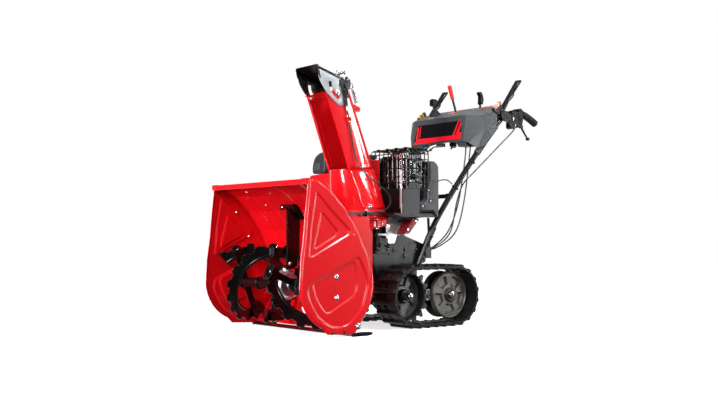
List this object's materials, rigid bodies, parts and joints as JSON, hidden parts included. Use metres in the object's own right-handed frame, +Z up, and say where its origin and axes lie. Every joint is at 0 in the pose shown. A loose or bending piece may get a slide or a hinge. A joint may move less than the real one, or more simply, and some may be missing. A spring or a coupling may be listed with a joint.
{
  "type": "two stage snowblower",
  "caption": "Track-drive two-stage snowblower: ribbon augers and a bladed impeller throw snow out of a turning chute; engine behind it, console with levers on a pair of handlebars",
  "frame": {"origin": "centre of the footprint's bounding box, on the ground", "axes": "+X is the machine's left hand side, -Y its front (auger end), +Z up"},
  "size_m": [0.726, 1.4821, 1.1507],
  "materials": {
    "red_paint": "glossy red enamel over pressed sheet steel",
    "dark_red_paint": "dark red engine enamel, slightly grained",
    "black_paint": "satin black powder coat",
    "wheel_paint": "dark warm grey paint on pressed discs",
    "cast_metal": "cast aluminium, fine grain",
    "zinc_steel": "zinc plated",
    "track_rubber": "moulded black rubber",
    "grip_rubber": "soft textured black rubber",
    "grey_plastic": "mid grey moulded plastic, fine grain",
    "dark_plastic": "dark grey moulded plastic",
    "black_plastic": "black moulded plastic",
    "red_plastic": "red lever knob on a black stem",
    "cable_sheath": "smooth dark cable sheath"
  },
  "bodies": {
    "undercarriage": {"track_frame": "black_paint", "left_track_belt": "track_rubber", "right_track_belt": "track_rubber"},
    "machine_body": {"main_frame": "black_paint", "transmission_case": "black_paint", "engine_crankcase": "cast_metal", "valve_cover": "dark_red_paint", "engine_side_panel": "black_paint", "rear_cover": "dark_plastic", "muffler": "black_paint", "muffler_guard": "black_paint", "recoil_starter": "dark_plastic", "fuel_tank": "red_paint", "air_cleaner_cover": "grey_plastic", "drive_belt": "track_rubber", "auger_housing_shell": "red_paint", "left_side_plate": "red_paint", "right_side_plate": "red_paint", "blower_housing": "red_paint", "scraper_blade": "black_paint", "left_skid_shoe": "black_paint", "right_skid_shoe": "black_paint", "auger_gearbox": "cast_metal", "auger_stay": "black_paint", "chute_base_ring": "red_paint", "belt_cover": "red_paint", "left_handlebar": "black_paint", "right_handlebar": "black_paint", "left_grip": "grip_rubber", "right_grip": "grip_rubber", "cross_brace": "black_paint", "console_cover": "grey_plastic", "console_panel": "black_plastic", "left_lever_bracket": "black_plastic", "right_lever_bracket": "black_plastic", "steering_cable": "cable_sheath"},
    "left_drive": {"left_drive_wheel": "wheel_paint"},
    "left_idler": {"left_idler_wheel": "wheel_paint"},
    "right_drive": {"right_drive_wheel": "wheel_paint"},
    "right_idler": {"right_idler_wheel": "wheel_paint"},
    "auger": {"auger_shaft": "black_paint", "left_auger_flight": "black_paint", "right_auger_flight": "black_paint"},
    "impeller_rotor": {"impeller": "red_paint", "impeller_shaft": "zinc_steel", "impeller_pulley": "cast_metal"},
    "crankshaft": {"engine_pulley": "cast_metal"},
    "chute": {"chute_channel": "red_paint", "chute_cable": "cable_sheath"},
    "chute_deflector": {"deflector": "black_plastic", "deflector_spring": "zinc_steel"},
    "shift": {"shift_lever": "red_plastic"},
    "throttle": {"throttle_lever": "black_plastic"},
    "joystick": {"chute_joystick": "black_plastic"},
    "left_paddle": {"left_clutch_paddle": "black_paint"},
    "right_paddle": {"right_clutch_paddle": "black_paint"},
    "left_trigger": {"left_steering_trigger": "black_plastic"},
    "right_trigger": {"right_steering_trigger": "black_plastic"},
    "starter_grip": {"recoil_grip": "black_plastic"},
    "cap": {"fuel_cap": "black_plastic"}
  },
  "joints": [
    {"name": "auger_height_tilt", "type": "hinge", "parent": "undercarriage", "child": "machine_body", "pos_m": [0, -0.064, 0.138], "axis": [-1, 0, 0], "range_deg": [0, 7]},
    {"name": "left_drive_spin", "type": "hinge", "parent": "undercarriage", "child": "left_drive", "pos_m": [0.209, -0.064, 0.138], "axis": [1, 0, 0], "continuous": true},
    {"name": "left_idler_spin", "type": "hinge", "parent": "undercarriage", "child": "left_idler", "pos_m": [0.209, 0.179, 0.138], "axis": [1, 0, 0], "continuous": true},
    {"name": "right_drive_spin", "type": "hinge", "parent": "undercarriage", "child": "right_drive", "pos_m": [-0.209, -0.064, 0.138], "axis": [1, 0, 0], "continuous": true},
    {"name": "right_idler_spin", "type": "hinge", "parent": "undercarriage", "child": "right_idler", "pos_m": [-0.209, 0.179, 0.138], "axis": [1, 0, 0], "continuous": true},
    {"name": "auger_spin", "type": "hinge", "parent": "machine_body", "child": "auger", "pos_m": [0, -0.559, 0.196], "axis": [1, 0, 0], "continuous": true},
    {"name": "impeller_spin", "type": "hinge", "parent": "machine_body", "child": "impeller_rotor", "pos_m": [0, -0.3, 0.205], "axis": [0, 1, 0], "continuous": true},
    {"name": "crankshaft_spin", "type": "hinge", "parent": "machine_body", "child": "crankshaft", "pos_m": [0, -0.196, 0.42], "axis": [0, 1, 0], "continuous": true},
    {"name": "chute_turn", "type": "hinge", "parent": "machine_body", "child": "chute", "pos_m": [0, -0.167, 0.51], "axis": [0, 0, 1], "range_deg": [-98, 98], "deforming": ["chute_cable"]},
    {"name": "deflector_tilt", "type": "hinge", "parent": "chute", "child": "chute_deflector", "pos_m": [0, -0.316, 1.063], "axis": [1, 0, 0], "range_deg": [0, 30], "deforming": ["deflector_spring"]},
    {"name": "shift_lever_tilt", "type": "hinge", "parent": "machine_body", "child": "shift", "pos_m": [-0.066, 0.503, 0.93], "axis": [1, 0, 0], "range_deg": [-14, 14]},
    {"name": "throttle_lever_tilt", "type": "hinge", "parent": "machine_body", "child": "throttle", "pos_m": [0.105, 0.505, 0.95], "axis": [1, 0, 0], "range_deg": [-16, 16]},
    {"name": "joystick_tilt", "type": "hinge", "parent": "machine_body", "child": "joystick", "pos_m": [-0.15, 0.449, 1.0018], "axis": [0, 1, 0], "range_deg": [-12, 12], "stiffness_Nm_per_rad": 0.6},
    {"name": "left_paddle_press", "type": "hinge", "parent": "machine_body", "child": "left_paddle", "pos_m": [0.252, 0.487, 0.976], "axis": [-1, 0, 0], "range_deg": [0, 30], "stiffness_Nm_per_rad": 3, "springref_deg": -28.65},
    {"name": "right_paddle_press", "type": "hinge", "parent": "machine_body", "child": "right_paddle", "pos_m": [-0.252, 0.487, 0.976], "axis": [-1, 0, 0], "range_deg": [0, 30], "stiffness_Nm_per_rad": 3, "springref_deg": -28.65},
    {"name": "left_trigger_pull", "type": "hinge", "parent": "machine_body", "child": "left_trigger", "pos_m": [0.252, 0.631, 0.924], "axis": [1, 0, 0], "range_deg": [0, 25], "stiffness_Nm_per_rad": 0.8, "springref_deg": -17.19},
    {"name": "right_trigger_pull", "type": "hinge", "parent": "machine_body", "child": "right_trigger", "pos_m": [-0.252, 0.631, 0.924], "axis": [1, 0, 0], "range_deg": [0, 25], "stiffness_Nm_per_rad": 0.8, "springref_deg": -17.19},
    {"name": "starter_pull", "type": "slide", "parent": "machine_body", "child": "starter_grip", "axis": [0, 1, 0], "range_m": [0, 0.4], "stiffness_N_per_m": 25, "springref_m": -0.1},
    {"name": "fuel_cap_turn", "type": "hinge", "parent": "machine_body", "child": "cap", "pos_m": [-0.12, 0.001, 0.769], "axis": [0, 0, 1], "continuous": true}
  ],
  "couplings": [
    {"joint": "left_idler_spin", "follows": "left_drive_spin", "ratio": 1},
    {"joint": "right_idler_spin", "follows": "right_drive_spin", "ratio": 1},
    {"joint": "impeller_spin", "follows": "auger_spin", "ratio": 10}
  ]
}
